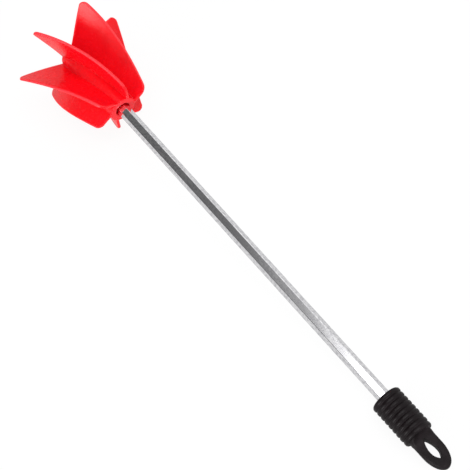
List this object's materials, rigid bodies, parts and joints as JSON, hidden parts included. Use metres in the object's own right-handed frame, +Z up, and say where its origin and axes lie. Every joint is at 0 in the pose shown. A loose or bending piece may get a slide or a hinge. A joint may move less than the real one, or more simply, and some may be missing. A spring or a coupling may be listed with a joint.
{
  "type": "paint mixing paddle",
  "caption": "Paint mixing paddle: a moulded head with curved helical blades on a hexagon drill shank, with a ribbed push-on cap that ends in a hanging eye.",
  "frame": {"origin": "middle of the underside of the bounding box, on the surface the tool lies on", "axes": "+X along the tool from the head to the hanging eye, +Z up; the tool lies on two blade tips and the cap, so its own axis slopes down 4.10 degrees towards +X"},
  "size_m": [0.4044, 0.0838, 0.0736],
  "materials": {
    "red_plastic": "moulded, satin gloss, slightly see-through at the thin blade tips",
    "plated_steel": "bright plated, drawn hexagon bar",
    "black_rubber": "matt to satin moulded rubber"
  },
  "bodies": {
    "tool": {"mixing_head": "red_plastic", "hex_shaft": "plated_steel"},
    "cap": {"hang_cap": "black_rubber"}
  },
  "joints": [
    {"name": "cap_pull", "type": "slide", "parent": "tool", "child": "cap", "axis": [0.9974, 0, -0.0714], "range_m": [0, 0.03]}
  ]
}
